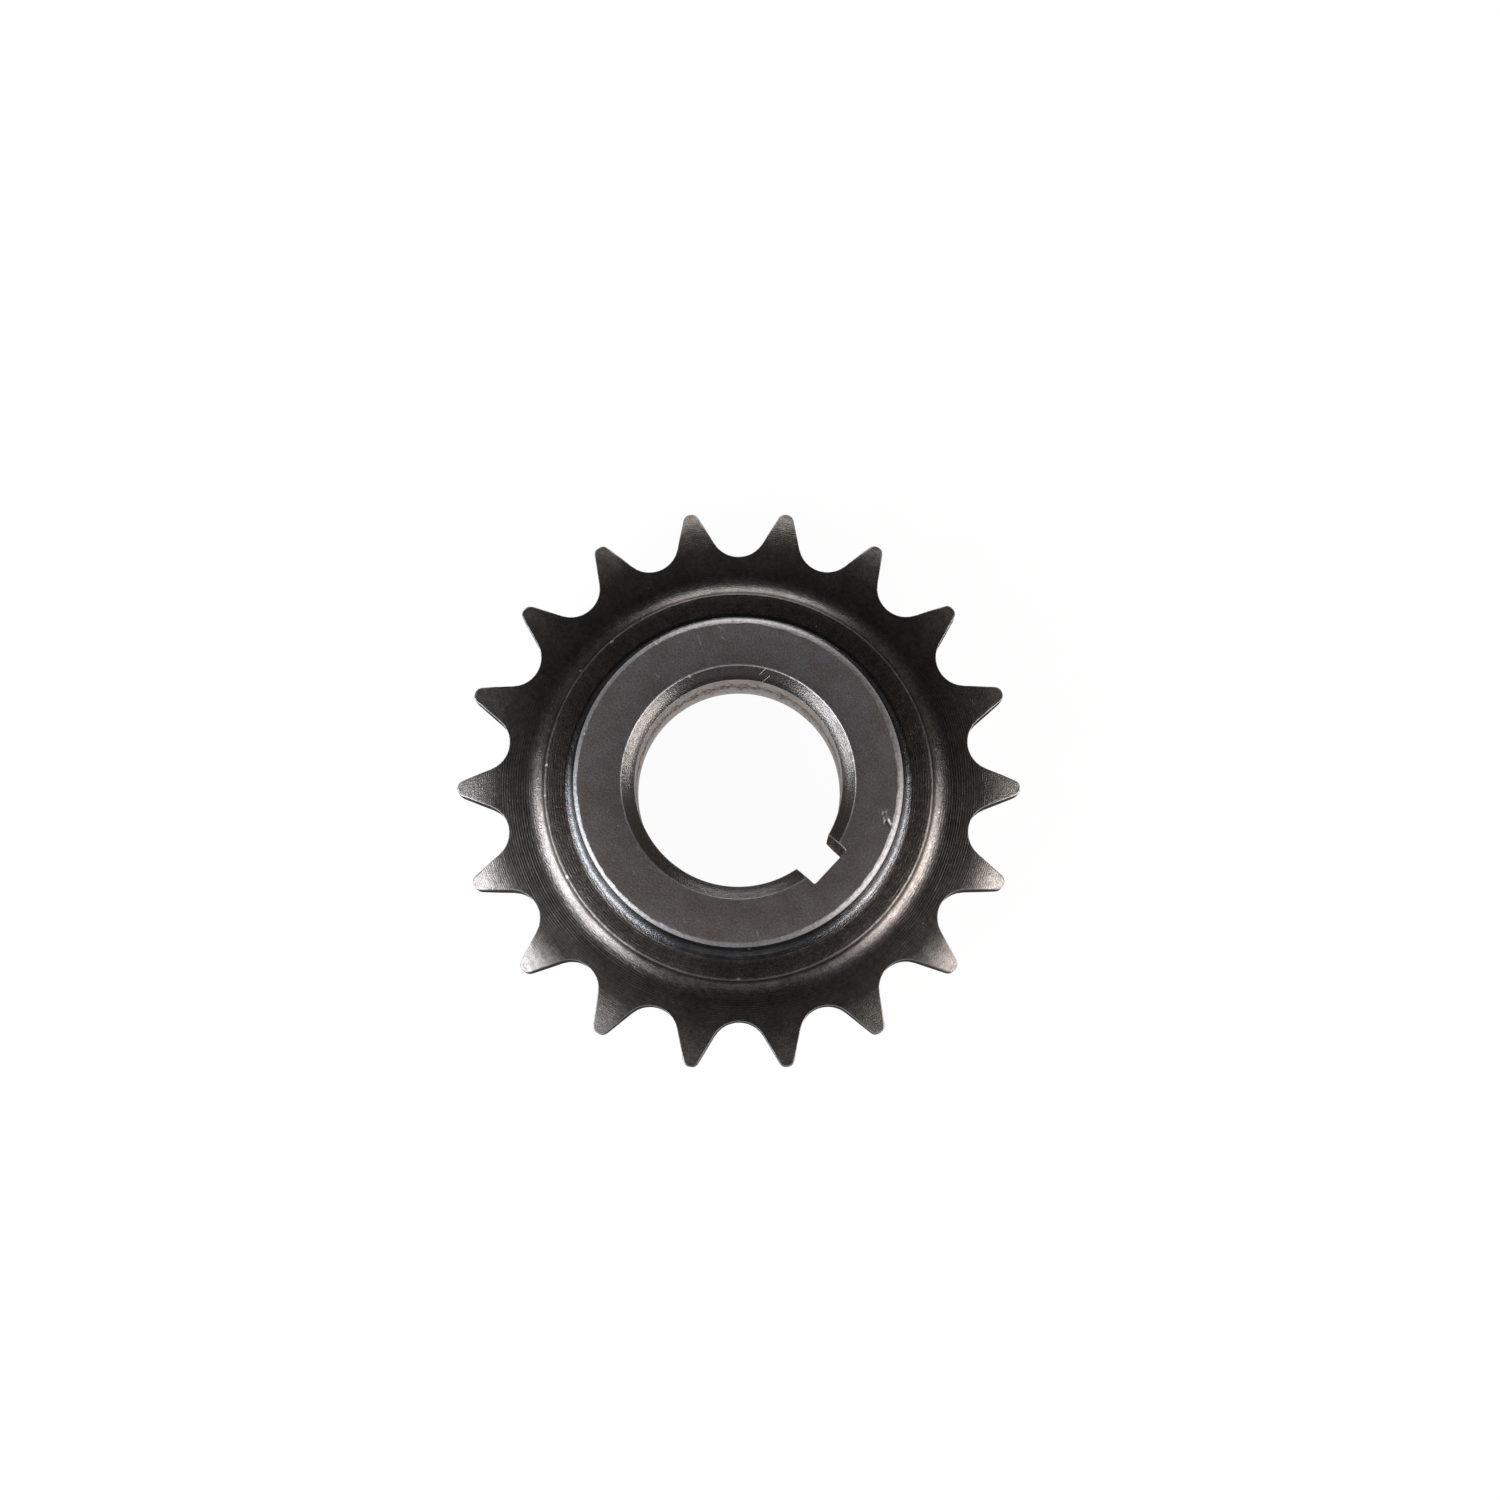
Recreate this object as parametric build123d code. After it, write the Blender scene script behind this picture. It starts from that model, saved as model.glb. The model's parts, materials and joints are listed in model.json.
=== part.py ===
from build123d import *
from math import atan2, cos, pi, radians, sin, sqrt, tan
import os

# Roller-chain sprocket, turned and hobbed from one steel blank.
#
# A toothed plate for half-inch pitch chain carries a stepped hub in front and a short
# boss behind.  A plain bore with one keyway runs through all of it.
#
# Frame: millimetres.  The origin is on the bore's axis, in the rear face, where the part
# rests.  +Z runs along the bore towards the hub's face.  +X points out through the middle
# of the keyway.

# ---- Driving dimensions (mm and degrees) ---------------------------------------------

# Chain and teeth
chain_pitch = 12.7  # between roller centres
roller_diameter = 7.92
tooth_count = 18
tooth_depth = 6.79  # from the inner side of a seated roller out to the tip circle
seating_angle = 118.8  # of roller seat, from flank to flank
tip_corner_radius = 1.0
tooth_width = 7.2  # thickness of the plate at the roots
tooth_lead = 3.0  # degrees from the keyway round to the nearest tooth

# Bore and keyway
bore_diameter = 28.6
front_bore_chamfer = 1.9
rear_bore_chamfer = 1.2
keyway_width = 6.4
keyway_depth = 3.0  # beyond the bore's wall, on the keyway's middle line
keyway_corner_radius = 0.3

# Front hub, in two steps above the plate.  A shallow cove ends at the foot of each wall.
hub_wall = 8.35  # from the bore out to the hub's side
hub_height = 8.3  # hub face above the plate
hub_rim_chamfer = 0.6
hub_cove_width = 1.5
hub_cove_height = 0.72
ledge_width = 4.35  # from the hub's side out to the step's edge
step_height = 2.5  # ledge above the plate
step_rim_chamfer = 0.35
step_cove_width = 2.4
step_cove_height = 0.9

# Rear boss
boss_wall = 8.35  # from the bore out to the boss's side
boss_height = 3.5  # rear face below the plate
boss_rim_chamfer = 0.6

# ---- Proportions of the tooth form and of the small details --------------------------

# Roller-chain practice: the seat is a hair larger than the roller, and the tooth's sides
# fall away towards the tip on a radius of one pitch.
seat_radius_per_roller = 0.505
relief_radius_per_pitch = 1.0
relief_depth_per_pitch = 0.13

blank_allowance = 1.0  # turned blank beyond the tip circle, before the teeth are cut
largest_cove_share = 0.9  # of its wall's height or its floor's width, for a cove
largest_round_share = 0.9  # of half a tooth's land, for the round on its corner

# ---- Sizes that follow ---------------------------------------------------------------

seat_radius = seat_radius_per_roller * roller_diameter
relief_radius = relief_radius_per_pitch * chain_pitch
relief_depth = relief_depth_per_pitch * chain_pitch
tooth_addendum = tooth_depth - roller_diameter / 2

pitch_radius = chain_pitch / 2 / sin(pi / tooth_count)
root_radius = pitch_radius - seat_radius
tip_radius = pitch_radius + tooth_addendum
blank_radius = tip_radius + blank_allowance

bore_radius = bore_diameter / 2
hub_radius = bore_radius + hub_wall
step_radius = hub_radius + ledge_width
boss_radius = bore_radius + boss_wall
keyway_floor = bore_radius + keyway_depth

# Heights above the rear face
plate_back = boss_height
plate_front = plate_back + tooth_width
ledge = plate_front + step_height
hub_face = plate_front + hub_height

# The plate stays flat out to here, where the curved sides of the teeth begin
relief_run = sqrt(relief_radius**2 - (relief_radius - relief_depth) ** 2)
relief_start = tip_radius - relief_run


# ---- The turned blank ----------------------------------------------------------------


def relief_drop(radius):
    """How far a tooth's side has fallen away at this distance from the axis."""
    return relief_radius - sqrt(relief_radius**2 - (radius - relief_start) ** 2)


def chamfered_rim(radius, face, chamfer, outward=1):
    """Two points that break the corner between a round side and a flat face.

    outward is 1 where the face looks along +Z, and -1 where it looks along -Z.
    """
    return [(radius - chamfer, face), (radius, face - outward * chamfer)]


def cove_points(wall_radius, wall_top, floor, floor_end, width, height):
    """Where the arc at a wall's foot leaves the wall, and where it meets the floor.

    It climbs no higher than its wall has room for, and reaches no further than its floor.
    """
    climb = min(height, largest_cove_share * (wall_top - floor))
    reach = min(width, largest_cove_share * (floor_end - wall_radius))
    return (wall_radius, floor + climb), (wall_radius + reach, floor)


def cove(points):
    """A shallow arc that lies flat on the floor and meets the wall at a corner."""
    on_wall, on_floor = points
    TangentArc(on_floor, on_wall, tangent=(-1, 0))


def front_section():
    """Outline of the front from the bore out to the start of the teeth's curved sides."""
    hub_wall_top = hub_face - hub_rim_chamfer
    step_wall_top = ledge - step_rim_chamfer
    ledge_end = step_radius - step_rim_chamfer
    hub_cove = cove_points(
        hub_radius, hub_wall_top, ledge, ledge_end, hub_cove_width, hub_cove_height
    )
    step_cove = cove_points(
        step_radius, step_wall_top, plate_front, relief_start, step_cove_width, step_cove_height
    )
    Polyline(
        (bore_radius, hub_face - front_bore_chamfer),
        (bore_radius + front_bore_chamfer, hub_face),
        *chamfered_rim(hub_radius, hub_face, hub_rim_chamfer),
        hub_cove[0],
    )
    cove(hub_cove)
    Polyline(
        hub_cove[1],
        *chamfered_rim(step_radius, ledge, step_rim_chamfer),
        step_cove[0],
    )
    cove(step_cove)
    Line(step_cove[1], (relief_start, plate_front))


def rear_section():
    """Outline of the back from the bore out to the start of the teeth's curved sides."""
    Polyline(
        (bore_radius, rear_bore_chamfer),
        (bore_radius + rear_bore_chamfer, 0),
        *chamfered_rim(boss_radius, 0, boss_rim_chamfer, outward=-1),
        (boss_radius, plate_back),
        (relief_start, plate_back),
    )


def blank_section():
    """Half section of the blank, from the bore out to the rim."""
    rim_drop = relief_drop(blank_radius)
    front_rim = (blank_radius, plate_front - rim_drop)
    rear_rim = (blank_radius, plate_back + rim_drop)
    with BuildSketch(Plane.XZ) as section:
        with BuildLine():
            front_section()
            TangentArc((relief_start, plate_front), front_rim, tangent=(1, 0))
            Line(front_rim, rear_rim)
            TangentArc((relief_start, plate_back), rear_rim, tangent=(1, 0))
            rear_section()
            Line((bore_radius, rear_bore_chamfer), (bore_radius, hub_face - front_bore_chamfer))
        make_face()
    return section.sketch


def turned_blank():
    """The whole turned shape: rear boss, plate, step, hub and chamfered bore."""
    return revolve(blank_section(), axis=Axis.Z)


# ---- The teeth -----------------------------------------------------------------------


def flank_line():
    """Where one straight flank leaves the roller seat, and the way that it runs.

    The gap between two teeth is centred on +X here.  The seat's arc ends half a seating
    angle from the gap's middle line, and the flank goes on along its tangent.
    """
    half_seat = radians(seating_angle / 2)
    foot = Vector(pitch_radius - seat_radius * cos(half_seat), seat_radius * sin(half_seat))
    direction = Vector(sin(half_seat), cos(half_seat))
    return foot, direction


def flank_length_to(radius):
    """Length of the flank from the seat out to a circle about the axis."""
    foot, direction = flank_line()
    along = foot.dot(direction)
    return -along + sqrt(along**2 - foot.dot(foot) + radius**2)


def tip_round():
    """Radius on a tooth's tip corners, no larger than the tip's land has room for."""
    foot, direction = flank_line()
    corner = foot + direction * flank_length_to(tip_radius)
    corner_angle = atan2(corner.Y, corner.X)
    half_land = tip_radius * (pi / tooth_count - corner_angle)
    turn = pi / 2 + corner_angle - atan2(direction.Y, direction.X)
    return min(tip_corner_radius, largest_round_share * half_land / tan(turn / 2))


def gap_sketch():
    """One gap between two teeth: a roller seat that opens out along straight flanks."""
    foot, direction = flank_line()
    mouth = foot + direction * flank_length_to(blank_radius)
    seat_bottom = (root_radius, 0)
    with BuildSketch() as gap:
        with BuildLine():
            Line((mouth.X, -mouth.Y), (foot.X, -foot.Y))
            ThreePointArc((foot.X, -foot.Y), seat_bottom, (foot.X, foot.Y))
            Line((foot.X, foot.Y), (mouth.X, mouth.Y))
            Line((mouth.X, mouth.Y), (mouth.X, -mouth.Y))
        make_face()
    return gap.sketch


def tooth_outline():
    """The toothed disc seen along the bore, with rounded tips."""
    gap = gap_sketch()
    first_gap = tooth_lead + 180 / tooth_count
    with BuildSketch() as outline:
        Circle(tip_radius)
        with PolarLocations(0, tooth_count, start_angle=first_gap):
            add(gap, mode=Mode.SUBTRACT)
        tip_corners = [
            corner
            for corner in outline.vertices()
            if Vector(corner.X, corner.Y).length > pitch_radius
        ]
        fillet(tip_corners, tip_round())
    return outline.sketch


def toothed_body():
    """The blank with its teeth cut: what the blank and the toothed prism share."""
    teeth = extrude(tooth_outline(), amount=hub_face)
    return turned_blank() & teeth


# ---- The keyway ----------------------------------------------------------------------


def keyway_cutter():
    """A slot along +X through the whole length, with small corners in its floor."""
    half_width = keyway_width / 2
    with BuildSketch() as slot:
        with BuildLine():
            FilletPolyline(
                (0, -half_width),
                (keyway_floor, -half_width),
                (keyway_floor, half_width),
                (0, half_width),
                radius=keyway_corner_radius,
            )
            Line((0, half_width), (0, -half_width))
        make_face()
    return extrude(slot.sketch, amount=hub_face)


# ---- Build ---------------------------------------------------------------------------

sprocket = toothed_body() - keyway_cutter()
sprocket.label = "sprocket"

os.makedirs("parts", exist_ok=True)
export_step(sprocket, "parts/sprocket.step")

print(f"pitch circle {2 * pitch_radius:.2f}, tip circle {2 * tip_radius:.2f}")
print(f"hub {2 * hub_radius:.2f}, step {2 * step_radius:.2f}, length {hub_face:.2f}")
print(f"volume {sprocket.volume / 1000:.2f} cm3, roots at {2 * root_radius:.2f}")
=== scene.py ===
# %% [markdown]
# A chain sprocket is one piece of steel: a toothed plate for a roller chain, with a stepped
# hub in front and a short boss behind.  It was turned on a lathe, its teeth were cut, and one
# keyway was broached through its bore.  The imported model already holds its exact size, so
# this lesson starts by loading that model as a frame that nothing may move.

# %% Load the frame
import json
from collections import namedtuple
from math import asin, atan2, cos, degrees, hypot, pi, radians, sin, sqrt, tan

import bmesh
import bpy
import numpy as np
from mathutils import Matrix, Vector, noise


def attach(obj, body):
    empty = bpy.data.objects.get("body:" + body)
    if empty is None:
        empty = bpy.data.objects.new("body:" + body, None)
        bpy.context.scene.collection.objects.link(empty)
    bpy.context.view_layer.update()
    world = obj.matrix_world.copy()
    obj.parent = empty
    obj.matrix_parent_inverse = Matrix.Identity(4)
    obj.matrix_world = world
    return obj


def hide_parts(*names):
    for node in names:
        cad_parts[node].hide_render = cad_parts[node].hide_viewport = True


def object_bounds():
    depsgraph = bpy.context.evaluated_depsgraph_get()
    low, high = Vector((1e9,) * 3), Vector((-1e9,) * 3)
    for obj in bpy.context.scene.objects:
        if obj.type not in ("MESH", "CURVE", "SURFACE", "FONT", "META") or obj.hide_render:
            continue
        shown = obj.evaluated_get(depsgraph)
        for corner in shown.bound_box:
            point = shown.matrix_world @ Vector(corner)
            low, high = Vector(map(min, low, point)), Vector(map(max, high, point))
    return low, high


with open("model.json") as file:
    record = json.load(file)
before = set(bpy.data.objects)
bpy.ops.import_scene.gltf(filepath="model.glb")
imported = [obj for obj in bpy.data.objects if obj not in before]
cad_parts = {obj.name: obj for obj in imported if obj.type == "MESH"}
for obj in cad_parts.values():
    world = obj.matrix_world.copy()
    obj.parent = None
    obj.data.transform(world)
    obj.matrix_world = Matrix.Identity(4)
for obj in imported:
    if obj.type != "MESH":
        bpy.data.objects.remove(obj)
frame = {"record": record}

cad_low, cad_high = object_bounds()
mm = 0.001
print("CAD box in mm:", [round(side / mm, 2) for side in cad_high - cad_low])

# %% [markdown]
# Every size below is in millimetres, and the finished mesh is scaled to metres once, at the
# end.  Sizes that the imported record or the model's box gives are read from there.  The rest
# are the few sizes that a turner would find on the drawing.

# %% Sizes of the sprocket
mounts = {mount["name"]: mount for mount in frame["record"]["mounts"]}
bore_radius = mounts["bore"]["dims"]["r_mm"]
tooth_count = mounts["chain_teeth"]["dims"]["count"]
pitch_radius = mounts["chain_teeth"]["dims"]["pcd_mm"] / 2
hub_face = cad_high.z / mm

chain_pitch = 2 * pitch_radius * sin(pi / tooth_count)
roller_radius = 7.92 / 2
seat_ease = 1.01  # a seat is cut this much larger than its roller
tooth_depth = 6.79  # from a seated roller's inner side out to the tip circle
seating_angle = radians(118.8)
tip_corner_radius = 1.0
relief_share = 0.13  # how deep a tooth's side falls away, as a share of the pitch
tooth_lead = radians(3.0)  # from the keyway round to the nearest tooth
plate_back = 3.5
plate_front = 10.7
step_radius = 27.1
step_top = 13.2
hub_radius = 22.72
boss_radius = 22.65
front_bore_chamfer = 1.9
rear_bore_chamfer = 1.2
keyway_half_width = 3.2
keyway_depth = 3.0
keyway_corner_radius = 0.3

keyway_floor = bore_radius + keyway_depth
seat_radius = seat_ease * roller_radius
tip_radius = pitch_radius + tooth_depth - roller_radius
relief_radius = chain_pitch
relief_depth = relief_share * chain_pitch
relief_start = tip_radius - sqrt(relief_radius**2 - (relief_radius - relief_depth) ** 2)
print(f"{tooth_count} teeth at {chain_pitch:.2f} mm pitch, {2 * tip_radius:.2f} mm over the tips")

# %% [markdown]
# Seen along the bore, the sprocket has two outlines: the toothed one outside, and the bore
# with its keyway inside.  Any ray from the axis crosses each of them once, so each is written
# as a function that gives a point for an angle.  That lets one fan of rays carry the whole
# mesh.  The tooth outline is the cutter's own form: a roller seat, a straight flank on each
# side, a rounded corner and a short land at the tip.

# %% Where the parts of a tooth begin
half_pitch_angle = pi / tooth_count
half_seat = seating_angle / 2
flank_foot = Vector((pitch_radius - seat_radius * cos(half_seat), seat_radius * sin(half_seat)))
flank_way = Vector((sin(half_seat), cos(half_seat)))
flank_side = Vector((-flank_way.y, flank_way.x))  # points into the tooth

corner_line = flank_foot + flank_side * tip_corner_radius
corner_along = corner_line.dot(flank_way)
corner_reach = tip_radius - tip_corner_radius
corner_travel = -corner_along + sqrt(corner_along**2 - corner_line.length_squared + corner_reach**2)
corner_centre = corner_line + flank_way * corner_travel


def angle_of(point):
    """Angle of a flat point from the gap's middle line."""
    return atan2(point.y, point.x)


seat_end = angle_of(flank_foot)
flank_end = angle_of(corner_centre - flank_side * tip_corner_radius)
corner_end = angle_of(corner_centre)
part_ends = [round(degrees(angle), 2) for angle in (seat_end, flank_end, corner_end)]
print("degrees from the gap's middle to the flank, the corner and the land:", part_ends)

# %% [markdown]
# A ray meets each part of a tooth in its own way: the seat and the corner are circles, the
# flank is a straight line and the land lies on the tip circle.  Half a gap is enough, because
# the other half is its mirror image and all the gaps are alike.  Next to each point the
# function also gives the way into the steel, and the rounded edges will need it.


# %% Tooth outline
def rotated(vector, turn):
    """A flat vector turned about the axis."""
    x = vector.x * cos(turn) - vector.y * sin(turn)
    y = vector.x * sin(turn) + vector.y * cos(turn)
    return Vector((x, y))


def ray_to_circle(angle, centre, radius, far):
    """Where a ray from the axis meets a circle, on its near or its far side."""
    ray = Vector((cos(angle), sin(angle)))
    along = ray.dot(centre)
    reach = sqrt(max(along**2 - centre.length_squared + radius**2, 0))
    return ray * (along + reach if far else along - reach)


def half_gap_point(angle):
    """Point and inward direction on the outline, from a gap's middle to a tooth's middle."""
    ray = Vector((cos(angle), sin(angle)))
    if angle < seat_end:
        centre = Vector((pitch_radius, 0))
        point = ray_to_circle(angle, centre, seat_radius, far=False)
        return point, (point - centre).normalized()
    if angle < flank_end:
        return ray * (flank_foot.dot(flank_side) / ray.dot(flank_side)), flank_side
    if angle < corner_end:
        point = ray_to_circle(angle, corner_centre, tip_corner_radius, far=True)
        return point, (corner_centre - point).normalized()
    return ray * tip_radius, -ray


def tooth_outline(angle):
    """Point and inward direction on the toothed outline, at any angle from the keyway."""
    from_gap = (angle - tooth_lead - half_pitch_angle) % (2 * half_pitch_angle)
    mirrored = from_gap > half_pitch_angle
    point, inward = half_gap_point(2 * half_pitch_angle - from_gap if mirrored else from_gap)
    if mirrored:
        point = Vector((point.x, -point.y))
        inward = Vector((inward.x, -inward.y))
        from_gap -= 2 * half_pitch_angle
    turn = angle - from_gap
    return rotated(point, turn), rotated(inward, turn)


print(f"roots at {tooth_outline(tooth_lead + half_pitch_angle)[0].length:.2f} mm from the axis")

# %% [markdown]
# The keyway is a plain slot with parallel walls.  Its corners at the floor carry the small
# radius that a broach leaves.

# %% Bore outline
corner_x = keyway_floor - keyway_corner_radius
corner_y = keyway_half_width - keyway_corner_radius
keyway_mouth = asin(keyway_half_width / bore_radius)
keyway_wall_end = atan2(keyway_half_width, corner_x)
keyway_floor_end = atan2(corner_y, keyway_floor)


def bore_outline(angle):
    """Point and outward direction (into the steel) on the bore and its keyway."""
    angle = (angle + pi) % (2 * pi) - pi
    side = 1 if angle >= 0 else -1
    ray = Vector((cos(angle), sin(angle)))
    if abs(angle) >= keyway_mouth:
        return ray * bore_radius, ray
    if abs(angle) >= keyway_wall_end:
        return ray * (keyway_half_width / abs(ray.y)), Vector((0, side))
    if abs(angle) >= keyway_floor_end:
        centre = Vector((corner_x, side * corner_y))
        point = ray_to_circle(angle, centre, keyway_corner_radius, far=True)
        return point, (point - centre).normalized()
    return ray * (keyway_floor / ray.x), Vector((1, 0))


print(f"keyway mouth spans {2 * degrees(keyway_mouth):.1f} degrees of the bore")

# %% [markdown]
# The rays are spread along the tooth outline, closer together where it curves.  A few more
# rays stand at the keyway, so that its corners fall exactly on a ray.


# %% Fan of rays
def spread(start, end, steps):
    """Evenly spaced values from start up to, and without, end."""
    return [start + (end - start) * step / steps for step in range(steps)]


half_gap_rays = [
    *spread(0, seat_end, steps=7),
    *spread(seat_end, flank_end, steps=5),
    *spread(flank_end, corner_end, steps=4),
    *spread(corner_end, half_pitch_angle, steps=2),
]
other_half = [2 * half_pitch_angle - ray for ray in half_gap_rays[1:]]
one_gap = sorted([*half_gap_rays, half_pitch_angle, *other_half])
rays = [
    (tooth_lead + half_pitch_angle * (1 + 2 * gap) + ray) % (2 * pi)
    for gap in range(tooth_count)
    for ray in one_gap
]
chamfer_ring = bore_radius + front_bore_chamfer
rear_chamfer_ring = bore_radius + rear_bore_chamfer
chamfer_meets_wall = asin(keyway_half_width / chamfer_ring)
mouth_beside, chamfer_beside, floor_beside = 0.004, 0.003, 0.01  # radians to a ray beside a corner
keyway_rays = [
    keyway_mouth + mouth_beside,
    keyway_mouth,
    keyway_mouth - mouth_beside,
    asin(keyway_half_width / rear_chamfer_ring),
    chamfer_meets_wall,
    chamfer_meets_wall - chamfer_beside,
    keyway_wall_end,
    (keyway_wall_end + keyway_floor_end) / 2,
    keyway_floor_end,
    keyway_floor_end - floor_beside,
]
closest_rays = 0.0015  # radians
for ray in keyway_rays:
    for place in (ray, 2 * pi - ray):
        rays = [other for other in rays if abs(other - place) > closest_rays]
        rays.append(place)
rays = np.array(sorted(rays))
tooth_edge = [tooth_outline(ray) for ray in rays]
bore_edge = [bore_outline(ray) for ray in rays]
print(f"{len(rays)} rays, closest {degrees(np.diff(rays).min()):.3f} degrees apart")

# %% [markdown]
# Now the sprocket's section, as a turner cuts it.  A lathe leaves no perfectly sharp corner,
# and the thin bright line on each rim comes from that small round.  So a section is a list of
# corners, and each corner says how far back from it the rounding starts.


# %% Rounded corners for a section
round_steps = 3  # between the start and the end of a rounding


def softened(corners):
    """Section points for a list of (radius, height, softness) corners."""
    points = []
    for index, (r, z, soft) in enumerate(corners):
        here = Vector((r, z))
        if not soft:
            points.append(here)
            continue
        before = Vector(corners[index - 1][:2])
        after = Vector(corners[index + 1][:2])
        into = here + (before - here).normalized() * soft
        out_of = here + (after - here).normalized() * soft
        for step in range(round_steps + 1):
            t = step / round_steps
            points.append(into * (1 - t) ** 2 + here * (2 * t * (1 - t)) + out_of * t**2)
    return points


sample = softened([(0, 0, 0), (1, 0, 0.1), (1, 1, 0)])
print(f"a soft corner between two sharp ones becomes {len(sample) - 2} points")

# %% [markdown]
# At the foot of each wall the tool left a shallow cove.  What the eye reads there is its
# slope, because each slope mirrors another part of the room, so the cove is written as a
# slope for each distance from the wall, and the heights are summed up from that.  The step's
# cove is nearly an arc, from a tool with a round nose.  The hub's cove was cut deeper at the
# wall, and leans evenly further out.


# %% Coves
def smooth_step(value):
    """Goes from 0 to 1, and starts and ends level."""
    value = min(max(value, 0), 1)
    return value * value * (3 - 2 * value)


def cove(wall_radius, floor, slopes, steps):
    """Section down a cove, from the wall's foot out to the floor.

    slopes lists pairs: a distance from the wall, and the slope there in degrees.
    """
    outs = np.linspace(0, slopes[-1][0], steps + 1)
    leans = np.interp((outs[1:] + outs[:-1]) / 2, *zip(*slopes))
    climbs = np.diff(outs) * np.tan(np.radians(leans))
    heights = floor + np.append(np.cumsum(climbs[::-1])[::-1], 0)
    return [Vector((wall_radius + out, height)) for out, height in zip(outs, heights)]


hub_cove_slopes = [
    (0, 75),
    (0.4, 52),
    (0.65, 40),
    (0.85, 24),
    (1.0, 19),
    (1.25, 15.5),
    (1.55, 0),
]
step_cove_slopes = [
    (0, 72),
    (0.2, 55),
    (0.36, 38),
    (0.6, 30),
    (1.0, 24),
    (1.5, 15),
    (2.1, 6),
    (2.5, 0),
]
hub_cove = cove(hub_radius, step_top, hub_cove_slopes, steps=17)
step_cove = cove(step_radius, plate_front, step_cove_slopes, steps=24)
for name, section in (("hub", hub_cove), ("step", step_cove)):
    print(f"{name} cove climbs {section[0].y - section[-1].y:.2f} mm up its wall")

# %% [markdown]
# The front section is the hub's face, its rim, the first cove, the ledge, the step's rim and
# the second cove.  Both rims are small chamfers with soft edges, which a handled sprocket
# shows as bright rings.  The corners are plain lists, in the order in which a tool would
# visit them from the bore outward.

# %% Front and rear sections
hub_rim = 0.68
step_rim = 0.24
boss_rim = 0.6
boss_foot = 0.3
hub_rim_falls = (0.25, 0.56)  # how far the hub's rim has fallen half way out, and in all
step_rim_falls = (0.04, 0.24)  # the step's rim, at its inner edge and in all
fan_start = 18.1  # the rays run freely outside this radius, clear of the keyway
teeth_start = 31.3  # and start to bend towards the tooth outline outside this one


def hub_section():
    """From just outside the keyway over the hub's face, rim and wall to the ledge."""
    face = [(radius, hub_face, 0) for radius in (fan_start, 19.0, 19.8, 20.6, 21.4)]
    rim = [
        (hub_radius - hub_rim, hub_face, 0.12),
        (hub_radius - hub_rim / 2, hub_face - hub_rim_falls[0], 0.12),
        (hub_radius, hub_face - hub_rim_falls[1], 0.06),
        (hub_radius, hub_cove[0].y + 0.12, 0),  # the foot of the wall
    ]
    return softened(face + rim) + hub_cove


def step_section():
    """From the ledge over the step's rim and wall to the plate."""
    ledge_and_rim = [
        (25.0, step_top, 0),
        (26.0, step_top, 0),
        (step_radius - step_rim, step_top - step_rim_falls[0], 0.06),
        (step_radius, step_top - step_rim_falls[1], 0.05),
        (step_radius, step_cove[0].y + 0.1, 0),  # the foot of the wall
    ]
    return softened(ledge_and_rim) + step_cove + [Vector((30.3, plate_front))]


def rear_section():
    """From the plate's back over the boss to just outside the keyway."""
    return softened(
        [
            (27.5, plate_back, 0),
            (boss_radius + boss_foot + 0.1, plate_back, 0),
            (boss_radius + boss_foot, plate_back, 0),
            (boss_radius, plate_back - boss_foot, 0),
            (boss_radius, boss_rim, 0.22),
            (boss_radius - boss_rim, 0, 0.22),
            (fan_start, 0, 0),
        ]
    )


front_section = hub_section() + step_section()
print(f"{len(front_section)} rings in front, {len(rear_section())} behind")

# %% [markdown]
# Now the sections become rings of points.  Most are plain circles.  Near the bore they are
# pushed outward where the keyway is, while their height always comes from the same turned
# surface, so the chamfer breaks off cleanly at the keyway's walls.  The chamfer's outer edge
# carries a burr: a thin raised line of steel that the chamfering tool pushed up, beaded where
# it broke away.


# %% Rings round the bore
bore_edge_soft = 0.08
mid_edge = bore_edge_soft * 0.3  # how far the soft edge's middle lies from both surfaces
ring_gap = 0.05  # between rings that the keyway pushes outward
bore_side_orders = 8  # rings over which a pushed ring swings back to its own ray


def front_height(radius):
    """Height of the turned front near the bore."""
    return min(hub_face, hub_face - front_bore_chamfer + radius - bore_radius)


def rear_height(radius):
    """Height of the turned back near the bore."""
    return max(0, rear_bore_chamfer - (radius - bore_radius))


def bore_wall_ring(share, inset=0.0, drop=bore_edge_soft):
    """A ring on the bore's wall: share 0 is the rear edge and share 1 the front edge."""
    ring = []
    for edge, into_steel in bore_edge:
        low = rear_height(edge.length) + drop
        high = front_height(edge.length) - drop
        place = edge + into_steel * inset
        ring.append((place.x, place.y, low + (high - low) * share))
    return ring


def beading(x, y):
    """How much of the burr is left at a place."""
    return max(0.5 + 1.3 * noise.noise(Vector((x, y, 0)) * 1.6), 0)


def bore_side_ring(radius, order, height_at, burr=0.0):
    """A ring of the front or back near the bore, pushed outward where the keyway is.

    order counts the rings outward from the bore's edge, and burr is how high this one is
    raised above its turned surface.
    """
    ring = []
    for ray, (edge, into_steel) in zip(rays, bore_edge):
        start = edge + into_steel * bore_edge_soft
        reach = max(radius, start.length + ring_gap * order)
        lag = (angle_of(start) - ray + pi) % (2 * pi) - pi
        angle = ray + (1 - order / bore_side_orders) * lag
        x, y = reach * cos(angle), reach * sin(angle)
        bead = beading(x, y) if reach == radius else 0
        ring.append((x, y, height_at(reach) + burr * bead))
    return ring


print(f"front chamfer reaches {chamfer_ring:.1f} mm from the axis, the rear one {rear_chamfer_ring:.1f}")

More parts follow.
